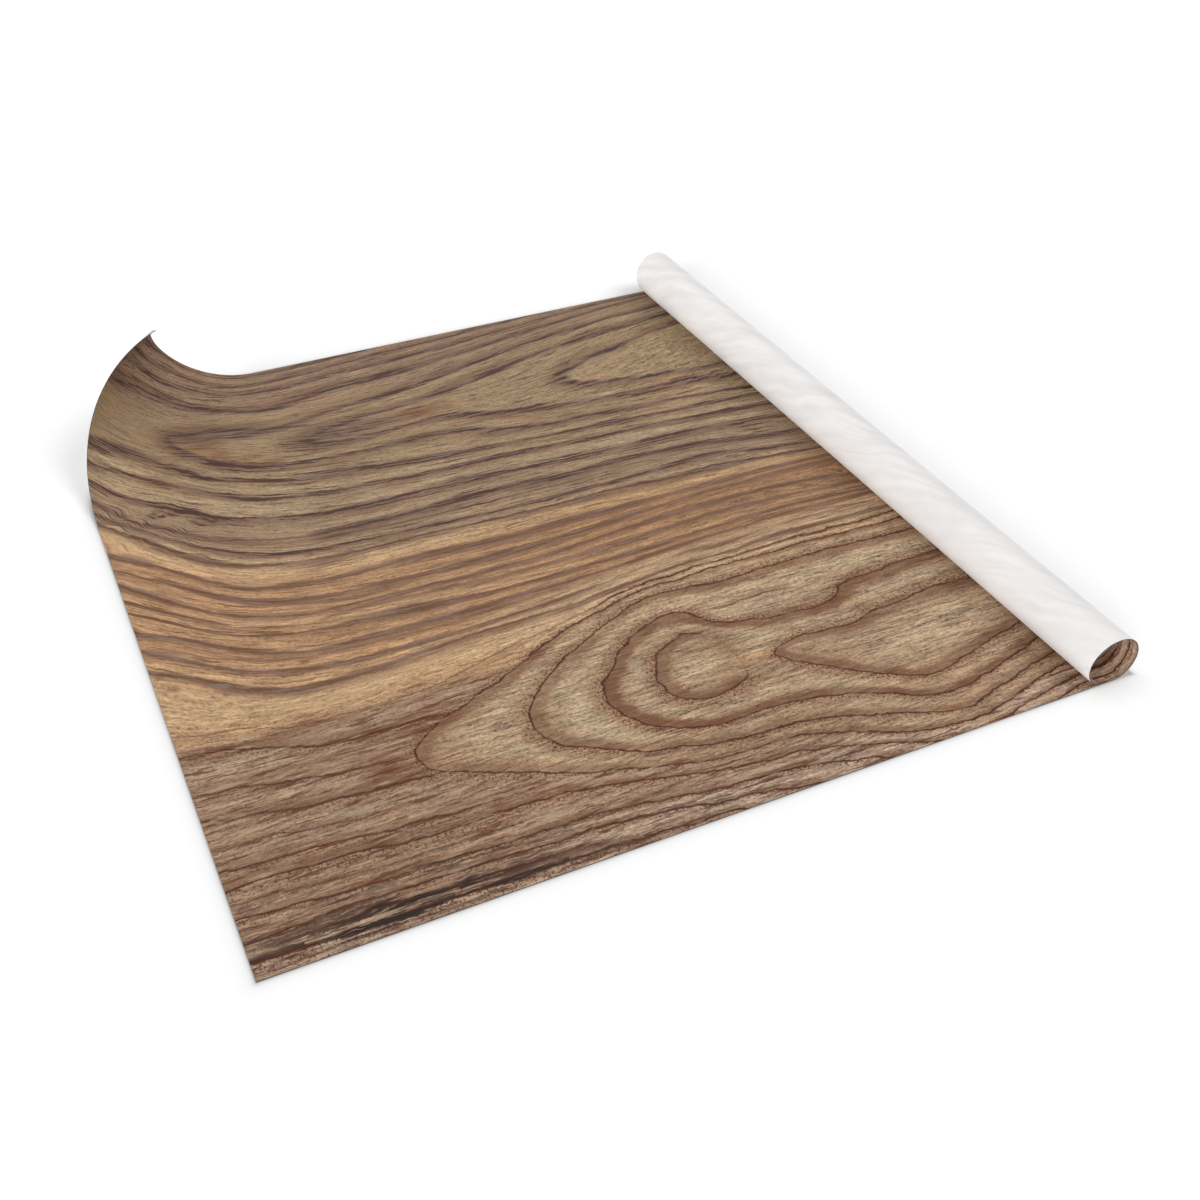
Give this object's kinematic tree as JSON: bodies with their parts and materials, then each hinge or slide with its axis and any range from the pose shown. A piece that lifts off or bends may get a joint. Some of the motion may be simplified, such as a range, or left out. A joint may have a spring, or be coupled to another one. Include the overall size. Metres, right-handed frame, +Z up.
{
  "type": "wood veneer sheet",
  "caption": "Rectangular sheet of backed wood veneer lying wood face up, its end rolled up into an open tube and a corner curled over.",
  "frame": {"origin": "on the floor under the middle of the box that the sheet fills", "axes": "+X along the grain, from the straight cut end to the rolled end; +Y across the sheet, towards the curled corner; +Z up, out of the wood face"},
  "size_m": [0.547, 0.61, 0.0857],
  "materials": {
    "wood_face": "open-pored brown wood with dark rings and a knot, satin",
    "paper_backing": "smooth off-white, matt"
  },
  "bodies": {
    "root": {"veneer_sheet": "wood_face"}
  },
  "joints": []
}
